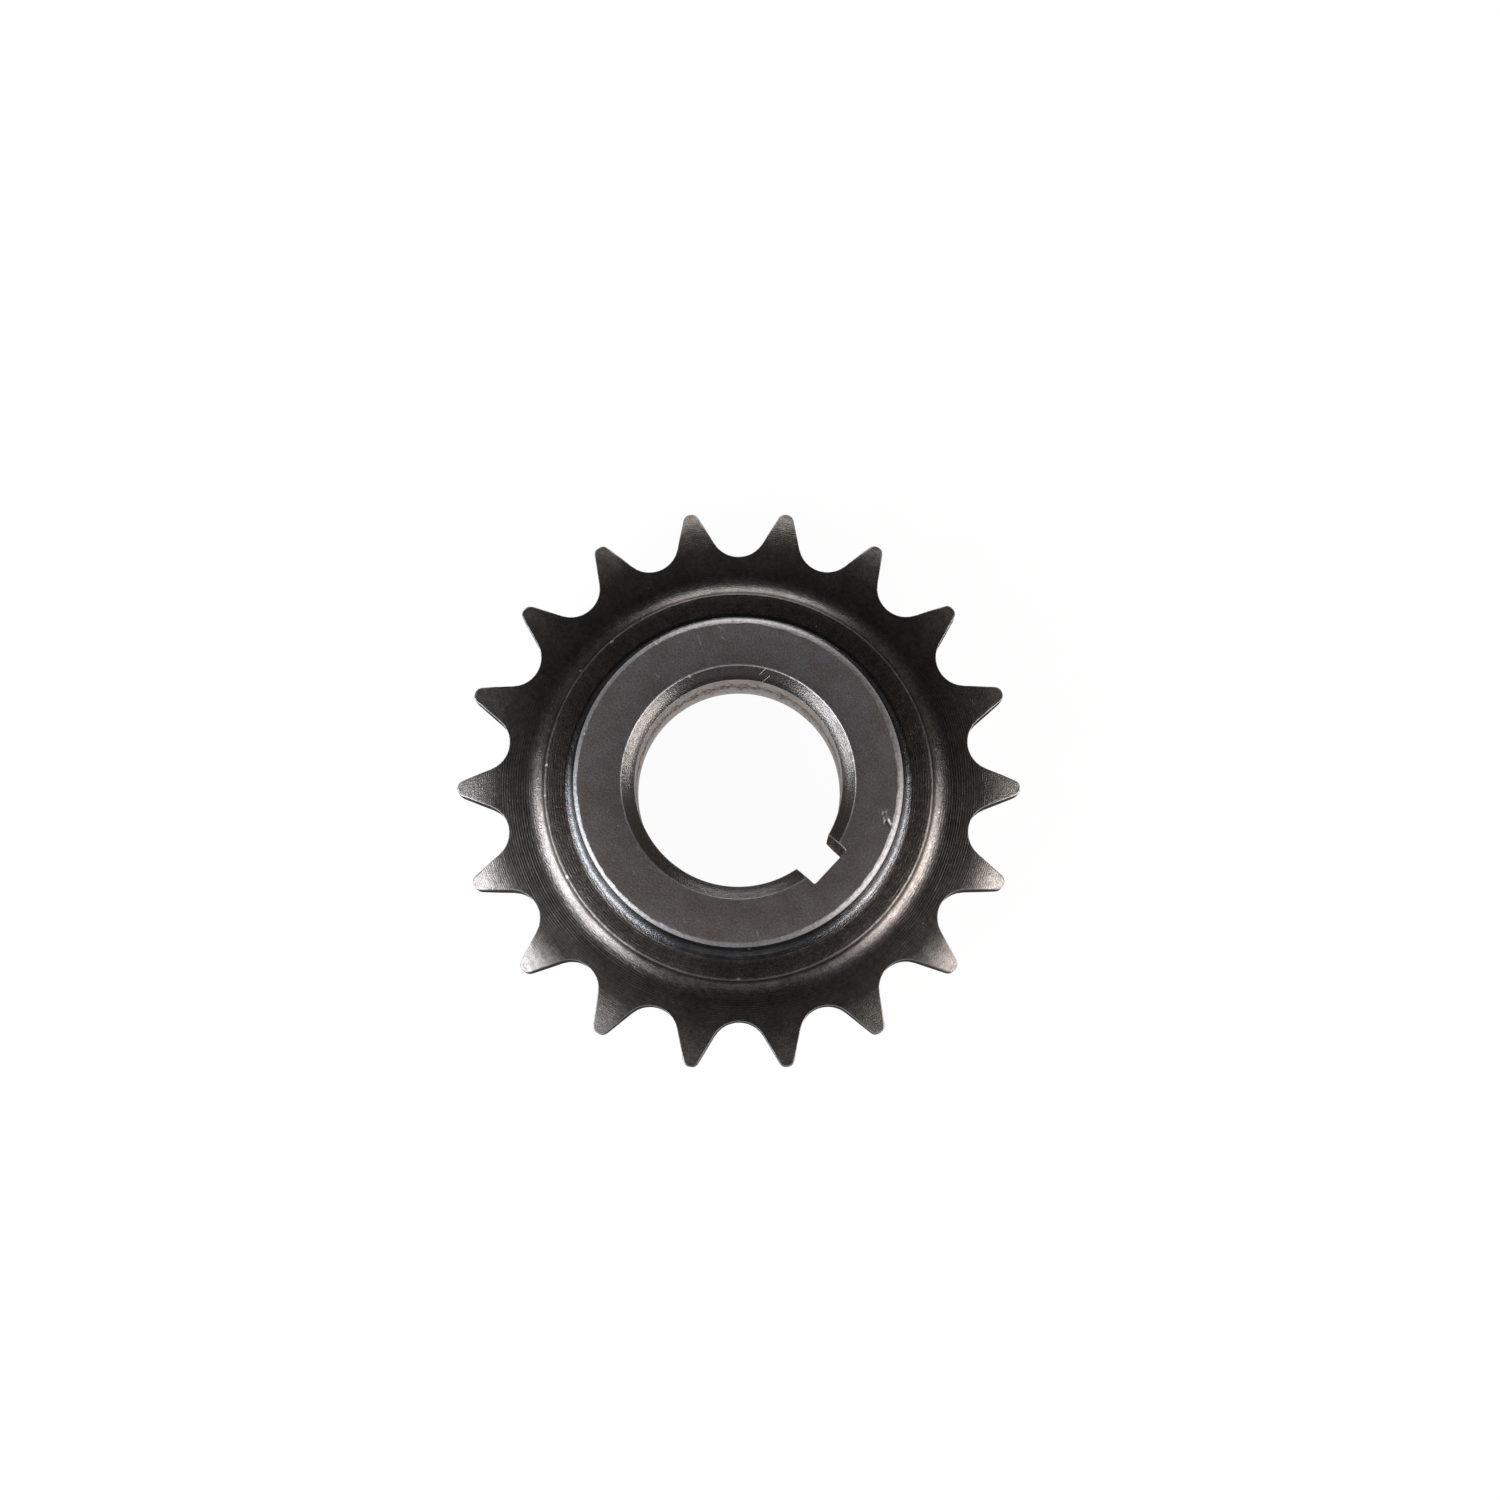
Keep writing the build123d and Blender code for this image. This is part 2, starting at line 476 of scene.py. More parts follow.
# %% [markdown]
# The tool that broke the hub's rim ran a little off the axis, and so did the one that cut the
# hub's cove.  So the rim is wider on one side, with a ragged inner edge, and the cove is
# narrower on one side.  Both come from a circle that is shifted towards one direction.


# %% Plain and shifted circles
rim_off_centre = 0.15
rim_widest = radians(68)  # round from the keyway
rim_ragged = 0.09
cove_off_centre = 0.5
cove_narrowest = radians(133)


def circle_ring(radius, height):
    """A plain circle of the section."""
    return [(radius * cos(ray), radius * sin(ray), height) for ray in rays]


def off_centre_ring(radius, height, shift, towards, ragged=0.0):
    """A circle that is shifted a little towards one side, and that may be ragged."""
    ring = []
    for ray in rays:
        reach = radius + shift * cos(ray - towards)
        if ragged:
            place = Vector((cos(ray), sin(ray), 0)) * radius
            reach += ragged * (noise.noise(place * 1.9) + noise.noise(place * 0.6))
        ring.append((reach * cos(ray), reach * sin(ray), height))
    return ring


print(f"hub rim {hub_rim - rim_off_centre:.2f} to {hub_rim + rim_off_centre:.2f} mm wide")

# %% [markdown]
# At the teeth the rings bend to follow the outline.  The sides of each tooth fall away
# towards its tip, so that the chain can find it.  Chains and handling wear a tooth's edges,
# and most of all at its tip, so the small round on the edge grows towards the tip and wanders
# a little.  Smooth noise from mathutils gives the wander, and it is the same on each run.


# %% Rings round the teeth
new_edge = 0.06  # the round that a tooth's edge had when it was new
least_wear, tip_wear = 0.05, 0.2  # what wear adds to it at the root, and more at the tip
wear_start = 35.0  # distance from the axis where wear starts to grow
half_plate = (plate_front - plate_back) / 2
middle_height = (plate_front + plate_back) / 2
edge_side = {"front": 1, "back": -1}


def relief(radius):
    """How far the side of a tooth has fallen away at a radius."""
    run = max(radius - relief_start, 0)
    return relief_radius - sqrt(relief_radius**2 - run**2)


def edge_wear(point, side):
    """Radius of the worn round on a tooth's edge, at a point of the outline."""
    to_tip = smooth_step((point.length - wear_start) / (tip_radius - wear_start))
    place = Vector((point.x, point.y, 9.0 * side))
    wander = 0.5 + 0.6 * noise.noise(place * 0.9) + 0.5 * noise.noise(place * 2.9)
    return new_edge + (least_wear + tip_wear * to_tip) * max(wander, 0)


wear = {}
for side, sign in edge_side.items():
    wear[side] = [edge_wear(edge, sign) for edge, _ in tooth_edge]


def tooth_side_ring(share, side):
    """A ring between the last full circle and the worn edge of the teeth."""
    ring = []
    for ray, (edge, inward), soft in zip(rays, tooth_edge, wear[side]):
        circle = Vector((cos(ray), sin(ray))) * teeth_start
        rim = edge + inward * soft
        place = circle + (rim - circle) * share
        height = half_plate - relief(place.length)
        ring.append((place.x, place.y, middle_height + edge_side[side] * height))
    return ring


def tooth_edge_ring(turn, side):
    """A ring on the small round between a tooth's side and its flank."""
    ring = []
    for (edge, inward), soft in zip(tooth_edge, wear[side]):
        place = edge + inward * soft * (1 - sin(turn))
        height = half_plate - relief((edge + inward * soft).length) - soft * (1 - cos(turn))
        ring.append((place.x, place.y, middle_height + edge_side[side] * height))
    return ring


def tooth_flank_ring(share):
    """A ring on the flanks: share 0 is their rear edge and share 1 their front edge."""
    low = tooth_edge_ring(pi / 2, "back")
    high = tooth_edge_ring(pi / 2, "front")
    return [(x, y, z + (top - z) * share) for (x, y, z), (_, _, top) in zip(low, high)]


print(f"edges worn {min(wear['front']):.2f} to {max(wear['front']):.2f} mm round")

# %% [markdown]
# Stacked in order, the rings make one closed loop: up the bore, over the front, round the
# teeth, over the back and home again.  Each ring also names the finish of the band that
# follows it.  The first rings climb the bore's wall and cross the chamfer.  Close rings at
# the chamfer's outer edge carry the burr.

# %% Stack of rings: bore and chamfer
rings = []
finishes = []


def add_ring(finish, ring):
    """Adds a ring, and the finish of the band between it and the next ring."""
    rings.append(ring)
    finishes.append(finish)


for share in (0, 0.2, 0.4, 0.6, 0.8):
    add_ring("bored", bore_wall_ring(share))
keyway_edge_ring = len(rings) + 1
add_ring("rubbed", bore_wall_ring(1))
add_ring("rubbed", bore_wall_ring(1, inset=mid_edge, drop=mid_edge))
chamfer_steps = [  # finish, radius and burr
    ("chamfered", bore_radius + bore_edge_soft, 0),
    ("chamfered", bore_radius + 0.9, 0),
    ("rubbed", chamfer_ring - 0.12, 0),
    ("rubbed", chamfer_ring - 0.03, 0.027),
    ("rubbed", chamfer_ring + 0.05, 0.031),
    ("rubbed", chamfer_ring + 0.11, 0.012),
    ("faced", chamfer_ring + 0.17, 0),
]
for order, (finish, radius, burr) in enumerate(chamfer_steps):
    add_ring(finish, bore_side_ring(radius, order, front_height, burr))
face_ring = len(rings)
print(f"{len(rings)} rings from the bore's rear edge to the hub's face")

# %% [markdown]
# The front section comes next.  Its rings are plain circles, apart from the inner edge of the
# hub's rim and the hub's cove, which are shifted.  The cove's shift grows from nothing at the
# wall to its full size where the cove meets the ledge, so the wall itself stays true.

# %% Stack of rings: front section
rim_inner_edge = hub_radius - hub_rim
rim_edge_soft = 0.13  # points this close to the rim's inner edge shift with it
cove_width = hub_cove[-1].x - hub_radius


def front_ring(point):
    """The ring of one point of the front section, and the finish of the band after it."""
    if abs(point.x - rim_inner_edge) < rim_edge_soft:
        ring = off_centre_ring(point.x, point.y, -rim_off_centre, rim_widest, rim_ragged)
    elif hub_radius < point.x < hub_cove[-1].x + 0.01:
        shift = -cove_off_centre * (point.x - hub_radius) / cove_width
        ring = off_centre_ring(point.x, point.y, shift, cove_narrowest)
    else:
        ring = circle_ring(point.x, point.y)
    if point.y > hub_face - 0.001:
        return "faced", ring
    return ("rubbed" if point.x < hub_radius - 0.001 else "turned"), ring


for point in front_section:
    add_ring(*front_ring(point))
print(f"{len(rings)} rings up to the teeth")

# %% [markdown]
# The teeth follow: their front sides, the worn round on the front edge, the flanks, the worn
# round on the back edge and their back sides.  Then the back section brings the stack home to
# the bore's rear edge.

# %% Stack of rings: teeth and back
front_side_steps, back_side_steps = 14, 10
for step in range(front_side_steps):
    add_ring("turned", tooth_side_ring(step / front_side_steps, "front"))
for turn in (0, pi / 6, pi / 3):
    add_ring("rubbed", tooth_edge_ring(turn, "front"))
for share in (1, 0.75, 0.5, 0.25):
    add_ring("cut", tooth_flank_ring(share))
for turn in (pi / 2, pi / 3, pi / 6):
    add_ring("rubbed", tooth_edge_ring(turn, "back"))
for step in range(back_side_steps, -1, -1):
    add_ring("plain turned", tooth_side_ring(step / back_side_steps, "back"))
for point in rear_section():
    add_ring("plain turned", circle_ring(point.x, point.y))
rear_steps = [
    bore_radius + bore_edge_soft,
    rear_chamfer_ring - 0.1,
    rear_chamfer_ring - 0.03,
    rear_chamfer_ring + 0.03,
    rear_chamfer_ring + 0.1,
    rear_chamfer_ring + 1.2,
]
for order, radius in reversed(list(enumerate(rear_steps))):
    add_ring("plain turned", bore_side_ring(radius, order, rear_height))
add_ring("plain turned", bore_wall_ring(0, inset=mid_edge, drop=mid_edge))
print(f"{len(rings)} rings of {len(rays)} points")

# %% [markdown]
# The mesh itself is then simple: four-sided faces between each ring and the next, and round
# from each ray to the next, with no seam and no pole.  At the keyway the bands cross from one
# surface to another, so there a face may need another finish than its band's.

# %% Mesh from the rings
finish_names = ["faced", "turned", "rubbed", "chamfered", "bored", "broached", "cut", "plain turned"]


def local_finish(finish, ring, ray, beside):
    """The finish of one face.  At the keyway, some bands lie on another surface."""
    middle = (bore_edge[ray][0] + bore_edge[beside][0]) / 2
    if finish == "bored" and middle.length > bore_radius + 0.02:
        return "broached"
    past_chamfer = hypot(*rings[ring][ray][:2]) > chamfer_ring + 0.3
    on_chamfer_band = finish in ("chamfered", "rubbed") and ring < face_ring
    if on_chamfer_band and past_chamfer and middle.length > chamfer_ring:
        return "faced" if ring > keyway_edge_ring + 1 else "rubbed"
    return finish


def ring_mesh(name, rings, finishes):
    """One closed mesh through every ring and round every ray."""
    total = len(rays)
    faces = []
    slots = []
    for ring, finish in enumerate(finishes):
        after = (ring + 1) % len(rings)
        for ray in range(total):
            beside = (ray + 1) % total
            corners = ((ring, ray), (after, ray), (after, beside), (ring, beside))
            faces.append([row * total + column for row, column in corners])
            slots.append(finish_names.index(local_finish(finish, ring, ray, beside)))
    mesh = bpy.data.meshes.new(name)
    points = np.array(rings).reshape(-1, 3) * mm
    mesh.from_pydata(points.tolist(), [], faces)
    mesh.polygons.foreach_set("material_index", slots)
    mesh.update()
    return mesh


mesh = ring_mesh("sprocket_steel", rings, finishes)
print(f"{len(mesh.polygons)} four-sided faces")

# %% [markdown]
# A used sprocket has knocks: small dents on the hub's face, and nicks on its rims and on one
# tooth.  Each one is given as a turner would find it again: degrees round from the keyway,
# distance from the axis, length, width and depth in millimetres, and the way that it runs.  A
# knock is an oval in plan, so one number says how far out in it a place lies.  The places and
# sizes are judged one by one.

# %% Knocks
Knock = namedtuple("Knock", "angle radius length width depth turn")
knocks = [
    Knock(27.9, 21.18, 1.95, 0.80, 0.340, -46),  # two strokes of one blow on the hub's face
    Knock(27.2, 20.92, 0.95, 0.36, 0.130, 84),
    Knock(30.8, 20.54, 0.85, 0.80, 0.300, 84),
    Knock(155.6, 21.00, 0.45, 0.40, 0.035, 0),
    Knock(337.1, 17.75, 0.50, 0.34, 0.040, 30),
    Knock(163.1, 22.24, 0.50, 0.46, 0.090, 0),  # on the hub's rim
    Knock(308.7, 22.50, 0.70, 0.30, 0.080, -36),
    Knock(317.1, 22.50, 0.75, 0.30, 0.080, -36),
    Knock(329.9, 22.29, 0.40, 0.34, 0.070, 20),
    Knock(335.0, 22.12, 0.36, 0.30, 0.060, 0),
    Knock(206.0, 22.20, 0.50, 0.34, 0.070, 90),
    Knock(107.0, 24.83, 0.36, 0.32, 0.090, 0),  # on the ledge
    Knock(217.0, 26.85, 0.50, 0.36, 0.080, 90),  # on the step's rim
    Knock(251.0, 26.95, 0.60, 0.44, 0.120, 60),
    Knock(226.0, 26.95, 0.40, 0.30, 0.060, 90),
    Knock(174.2, 26.85, 0.60, 0.34, 0.070, 80),
    Knock(186.5, 27.50, 0.36, 0.34, 0.060, 0),
    Knock(313.0, 26.75, 0.50, 0.40, 0.080, 0),
    Knock(157.4, 16.10, 0.46, 0.40, 0.080, 90),  # on the bore's chamfered edge
    Knock(245.6, 37.45, 0.70, 0.60, 0.250, 0),  # on the edge of one tooth
]


def knock_frame(knock):
    """Middle of a knock, and the flat direction that it runs in."""
    angle = radians(knock.angle)
    way = angle + radians(knock.turn)
    return Vector((cos(angle), sin(angle))) * knock.radius, Vector((cos(way), sin(way)))


def share_of_knock(knock, point):
    """0 at a knock's middle, 1 on its border and more outside it."""
    middle, way = knock_frame(knock)
    offset = point - middle
    across = Vector((-way.y, way.x))
    return hypot(offset.dot(way) / (knock.length / 2), offset.dot(across) / (knock.width / 2))


deepest = max(knocks, key=lambda knock: knock.depth)
print(f"{len(knocks)} knocks, the deepest {deepest.depth} mm, at {deepest.angle} degrees")

# %% [markdown]
# A dent is too small for the mesh as it stands.  Dividing the whole mesh would cost millions
# of faces, so only the faces near each knock are divided, in three rounds, until their edges
# are about a tenth of a millimetre long.  bmesh does this with one operator.

# %% Divide the faces near the knocks
margin = 0.55  # how far past a knock's end the faces are divided
facing_up = 0.15  # least upward part of a face's normal for it to take a knock
rounds = ((7, 0.7), (3, 0.35), (1, 0.11))  # cuts, and the longest edge that is left whole


def divide_faces(work, near):
    """Divides faces until their edges are short enough to carry a knock."""
    for cuts, longest in rounds:
        edges = {edge for face in near for edge in face.edges if edge.calc_length() > longest * mm}
        if edges:
            parts = bmesh.ops.subdivide_edges(work, edges=list(edges), cuts=cuts)
            near += [part for part in parts["geom"] if isinstance(part, bmesh.types.BMFace)]
            near = list({face for face in near if face.is_valid})


work = bmesh.new()
work.from_mesh(mesh)
centres = np.array([face.calc_center_median() for face in work.faces]) / mm
upward = np.array([face.normal.z for face in work.faces]) > facing_up
in_front = centres[:, 2] > plate_back
work.faces.ensure_lookup_table()
near_knocks = []
for knock in knocks:
    middle = knock_frame(knock)[0]
    away = np.hypot(centres[:, 0] - middle.x, centres[:, 1] - middle.y)
    close = (away < knock.length / 2 + margin) & upward & in_front
    near_knocks.append([work.faces[index] for index in np.flatnonzero(close)])
for near in near_knocks:
    divide_faces(work, [face for face in near if face.is_valid])
print(f"{len(work.faces) - len(centres)} faces more than before")

# %% [markdown]
# Then the points inside a knock are pushed down, most in its middle.  A low lip round the
# dent is the steel that the blow raised.  Fresh dents are bare and torn, not smooth, so their
# faces take the rubbed finish and are shaded flat, each one a small mirror of its own.

# %% Dig the knocks
lip_end = 1.6  # the lip runs from a knock's border, at 1, out to here
lip_height = 0.12  # as a share of the knock's depth
lowest_dug = plate_front - 3  # no point below this height is moved


def dig(vertex, share, depth):
    """Pushes one point of a knock down, or raises it a little on the lip."""
    if share < 1:
        vertex.co.z -= depth * mm * (1 - share)
    elif share < lip_end:
        vertex.co.z += lip_height * depth * mm * sin(pi * (share - 1) / (lip_end - 1))


for vertex in work.verts:
    if vertex.co.z < lowest_dug * mm:
        continue
    point = vertex.co.xy / mm
    for knock in knocks:
        if abs(point.length - knock.radius) < knock.length:
            dig(vertex, share_of_knock(knock, point), knock.depth)
work.normal_update()
for face in work.faces:
    face.smooth = True
    if face.normal.z < facing_up:
        continue
    point = face.calc_center_median().xy / mm
    for knock in knocks:
        close = abs(point.length - knock.radius) < knock.length
        if close and share_of_knock(knock, point) < 0.95:
            face.material_index = finish_names.index("rubbed")
            face.smooth = False
work.to_mesh(mesh)
work.free()
print(f"{sum(len(face.vertices) - 2 for face in mesh.polygons)} triangles in all")

# %% [markdown]
# The finished mesh takes the place of the imported model's plain solid and rides on the same
# body.  Shading is smooth, and the weighted normals keep the large flats flat right up to their
# soft edges.

# %% The piece
sprocket = bpy.data.objects.new("sprocket_steel", mesh)
bpy.context.scene.collection.objects.link(sprocket)
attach(sprocket, "root")
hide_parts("sprocket")
crisp = sprocket.modifiers.new("crisp flats", "WEIGHTED_NORMAL")
crisp.weight = 100
print("pieces:", sprocket.name)

# %% [markdown]
# A material in Blender is a small graph of nodes.  A few short functions keep the recipes
# below readable: one adds a node and links its inputs, and the others name the sums and
# blends that each finish needs.


# %% Node helpers
def add_node(tree, kind, inputs=None, **settings):
    """Adds a shader node.  An input is a plain value, or another node's output to link in."""
    node = tree.nodes.new("ShaderNode" + kind)
    for setting, value in settings.items():
        setattr(node, setting, value)
    for socket, value in (inputs or {}).items():
        if isinstance(value, bpy.types.NodeSocket):
            tree.links.new(value, node.inputs[socket])
        else:
            node.inputs[socket].default_value = value
    return node


def calc(tree, operation, *values, clamp=False):
    """Arithmetic on numbers that vary over the surface."""
    node = add_node(tree, "Math", dict(enumerate(values)), operation=operation, use_clamp=clamp)
    return node.outputs[0]


def vector_calc(tree, operation, *values):
    """Arithmetic on places, directions and colours."""
    node = add_node(tree, "VectorMath", dict(enumerate(values)), operation=operation)
    return node.outputs["Value" if operation in ("DOT_PRODUCT", "DISTANCE") else "Vector"]


def blend_colours(tree, share, first, second):
    """The first colour where share is 0, and the second where it is 1."""
    mix = add_node(tree, "Mix", {0: share, 6: first, 7: second}, data_type="RGBA")
    return mix.outputs[2]


def shade(tree, colour, factor):
    """A colour made lighter or darker by a factor."""
    return vector_calc(tree, "MULTIPLY", colour, factor)


def remap(tree, value, low, high, to_low, to_high):
    """Stretches the span from low to high onto the one from to_low to to_high, and clamps."""
    inputs = {0: value, 1: low, 2: high, 3: to_low, 4: to_high}
    return add_node(tree, "MapRange", inputs).outputs[0]


def same_three(tree, value):
    """A vector or a grey colour with one value in all three places."""
    return add_node(tree, "CombineXYZ", dict.fromkeys(range(3), value)).outputs[0]


def first_of(tree, colour):
    """The red part of a colour, as a number."""
    return add_node(tree, "SeparateColor", {0: colour}).outputs[0]


helpers = (add_node, calc, vector_calc, blend_colours, shade, remap, same_three, first_of)
print("node helpers:", ", ".join(helper.__name__ for helper in helpers))

# %% [markdown]
# Turned surfaces are all rings, so noise has to run in rings too.  The trick is to feed the
# noise a bent place: the direction from the axis, scaled by how often the noise should change
# in one turn, and the radius, scaled by how often it should change in a millimetre.  Some
# finishes also ask how far a place lies towards the side that is the top of the view.  There
# the rims' colour is painted lighter and the face's colour bluer, as painted light, and the
# turned marks are made weaker, because the lamps alone leave that side too dark.  Why the real
# sprocket is brighter there isn't known.


# %% Places and noises
view_turn = 43  # degrees from the view's right round to the keyway
top_turn = radians(view_turn + 90)


def places(tree):
    """Place on the piece in millimetres, its radius, and its direction from the axis."""
    object_place = add_node(tree, "TexCoord").outputs["Object"]
    place = vector_calc(tree, "MULTIPLY", object_place, (1 / mm, 1 / mm, 1 / mm))
    flat = vector_calc(tree, "MULTIPLY", place, (1, 1, 0))
    radius = calc(tree, "SQRT", vector_calc(tree, "DOT_PRODUCT", flat, flat))
    direction = vector_calc(tree, "DIVIDE", flat, same_three(tree, radius))
    return place, radius, direction


# Painted light hangs on this share: the lighter rims and the bluer face towards the top of the view.
def towards_top(tree, direction):
    """1 towards the top of the view, 0 at its sides and -1 at its foot."""
    return vector_calc(tree, "DOT_PRODUCT", direction, (cos(top_turn), sin(top_turn), 0))


def ring_noise(tree, radius, direction, per_turn, per_mm, detail=2.0):
    """Noise that is drawn out along the turning marks."""
    around = vector_calc(tree, "MULTIPLY", direction, (per_turn, per_turn, 0))
    outward = add_node(tree, "CombineXYZ", {2: calc(tree, "MULTIPLY", radius, per_mm)}).outputs[0]
    bent = vector_calc(tree, "ADD", around, outward)
    return add_node(tree, "TexNoise", {"Vector": bent, "Scale": 1.0, "Detail": detail}).outputs[0]


def grain_noise(tree, place, per_mm, detail=2.0):
    """Noise that is alike in all directions."""
    inputs = {"Vector": place, "Scale": per_mm, "Detail": detail, "Roughness": 0.6}
    return add_node(tree, "TexNoise", inputs).outputs[0]


def flecks(tree, place, per_mm, size, share):
    """Sparse round specks: 1 in a speck's middle, 0 outside.  Size is in millimetres."""
    cell = add_node(tree, "TexVoronoi", {"Vector": place, "Scale": per_mm})
    near = remap(tree, cell.outputs["Distance"], 0.5 * size * per_mm, size * per_mm, 1, 0)
    chosen = calc(tree, "LESS_THAN", first_of(tree, cell.outputs["Color"]), share)
    return calc(tree, "MULTIPLY", near, chosen)


def by_radius(tree, radius, low, high, stops):
    """A colour ramp that runs from one radius to another.  Stops are (radius, colour)."""
    position = remap(tree, radius, low, high, 0, 1)
    ramp = add_node(tree, "ValToRGB", {0: position})
    ramp.color_ramp.interpolation = "EASE"
    elements = ramp.color_ramp.elements
    elements.remove(elements[1])
    for index, (stop, colour) in enumerate(stops):
        element = elements[0] if index == 0 else elements.new((stop - low) / (high - low))
        element.position = (stop - low) / (high - low)
        element.color = (*colour, 1)
    return ramp.outputs[0]


print(f"the top of the view is {degrees(top_turn):.0f} degrees round from the keyway")

# %% [markdown]
# Feed marks are the fine groove that a turning tool leaves, one for each turn of the blank.
# Here the groove isn't even: it rises gently and drops off sharply.  One side of a turned
# face also looks brighter than the other, as if the face leaned outward.  That lean wasn't
# measured: it was fitted together with the lamps, and sharp sides that all face outward are
# only a possible cause.  The saw-tooth height and the steady lean below give both effects.


# %% Feed marks and bump
gentle_side = 0.68  # the share of a groove's width over which it rises
outward_lean = radians(9.4)


def feed_marks(tree, radius, wander, spacing, depth):
    """Height in millimetres of a fine groove that is cut once each turn."""
    turns = calc(tree, "MULTIPLY_ADD", wander, 0.5, calc(tree, "DIVIDE", radius, spacing))
    share = calc(tree, "FRACT", turns)
    rising = calc(tree, "DIVIDE", share, gentle_side)
    falling = calc(tree, "DIVIDE", calc(tree, "SUBTRACT", 1.0, share), 1 - gentle_side)
    return calc(tree, "MULTIPLY", calc(tree, "MINIMUM", rising, falling), depth)


def add_bump(tree, shader, *heights):
    """Bump from the sum of some heights in millimetres."""
    total = heights[0]
    for height in heights[1:]:
        total = calc(tree, "ADD", total, height)
    bump = add_node(tree, "Bump", {"Strength": 1.0, "Distance": mm, "Height": total})
    tree.links.new(bump.outputs[0], shader.inputs["Normal"])


print(f"a groove rises over {gentle_side:.0%} of its width, on a lean of {degrees(outward_lean)} degrees")

# %% [markdown]
# All eight finishes are the same steel, and only its surface differs.  So one function makes
# the bare metal with Blender's Principled shader, and each finish adds its own colour,
# roughness and bump.  Values that are the same all over sit on the shader's own sockets.


# %% Bare metal
def new_steel(name, roughness, anisotropy=0.0, edge_tint=1.0):
    """A metal material, and its shader to plug the surface's own detail into.

    edge_tint darkens what the metal mirrors at a grazing angle, as a film of oil-black does.
    """
    material = bpy.data.materials.new(name)
    material.use_nodes = True
    shader = material.node_tree.nodes["Principled BSDF"]
    shader.inputs["Metallic"].default_value = 1.0
    shader.inputs["Specular Tint"].default_value = (edge_tint, edge_tint, edge_tint, 1)
    shader.inputs["Roughness"].default_value = roughness
    if anisotropy:
        tangent = add_node(material.node_tree, "Tangent", direction_type="RADIAL", axis="Z")
        shader.inputs["Anisotropic"].default_value = anisotropy
        shader.inputs["Anisotropic Rotation"].default_value = 0.25
        material.node_tree.links.new(tangent.outputs[0], shader.inputs["Tangent"])
    return material, shader, material.node_tree


finish_materials = {}


def keep_finish(finish, material):
    """Stores a finish under its short name, and says how long its recipe is."""
    finish_materials[finish] = material
    print(f"{material.name}: {len(material.node_tree.nodes)} nodes")


print(f"{len(finish_names)} finishes to make:", ", ".join(finish_names))

# %% [markdown]
# The turned steel covers the ledge, both coves, the plate and the sides of the teeth.  All of
# it was cut in one go, so it is one material whose colour, grain and feed marks change with
# the radius.  The oil-black finish is nearly worn off the coves, slightly blue in the hub's
# cove, brown and speckled on the ledge, and most even on the plate.  Three short tables say
# what the tools and the wear left at each radius, and a colour ramp blends between the rows.

# %% Turned steel at each radius
turned_low, turned_high = 22.0, 40.0
turned_colours = [
    (22.6, (0.119, 0.125, 0.134)),
    (23.9, (0.109, 0.118, 0.130)),
    (24.3, (0.146, 0.132, 0.123)),
    (26.6, (0.150, 0.138, 0.130)),
    (27.2, (0.146, 0.139, 0.135)),
    (28.5, (0.146, 0.142, 0.140)),
    (29.0, (0.145, 0.141, 0.140)),
    (30.0, (0.138, 0.132, 0.127)),
    (33.3, (0.131, 0.126, 0.121)),
    (36.0, (0.157, 0.151, 0.145)),
]
turned_roughness = [
    (22.6, 0.24),
    (24.0, 0.24),
    (24.4, 0.36),
    (26.8, 0.36),
    (27.5, 0.28),
    (28.8, 0.28),
    (29.6, 0.34),
    (33.0, 0.40),
    (34.5, 0.39),
    (36.0, 0.35),
]
# How strong the grain, the wide feed marks and the fine feed marks are, from 0 to 1.
turned_marks = [
    (22.6, (0.85, 0.1, 0.0)),
    (24.1, (0.85, 0.3, 0.0)),
    (24.5, (0.9, 0.6, 0.0)),
    (26.6, (0.9, 0.6, 0.0)),
    (27.6, (0.75, 0.1, 0.0)),
    (28.9, (0.8, 0.3, 0.0)),
    (29.9, (0.3, 1.0, 0.0)),
    (32.8, (0.3, 0.8, 0.2)),
    (34.2, (0.6, 0.1, 1.0)),
]
print(f"turned from {turned_low} to {turned_high} mm, {len(turned_colours)} colours on the way")

# %% [markdown]
# The recipe itself has three parts.  First come the shares of grain, wide marks and fine
# marks, which are set weaker towards the top of the view, as explained above.  Then the
# heights are added up as bump.  Last, clouds, speckle, mottling, rust and bright flecks turn
# the plain colour into a worn one.


# %% Turned steel
wide_feed, fine_feed = 0.345, 0.29  # millimetres between two marks
kept_at_top = (0.75, 0.4, 0.5)  # of the grain, the wide marks and the fine marks


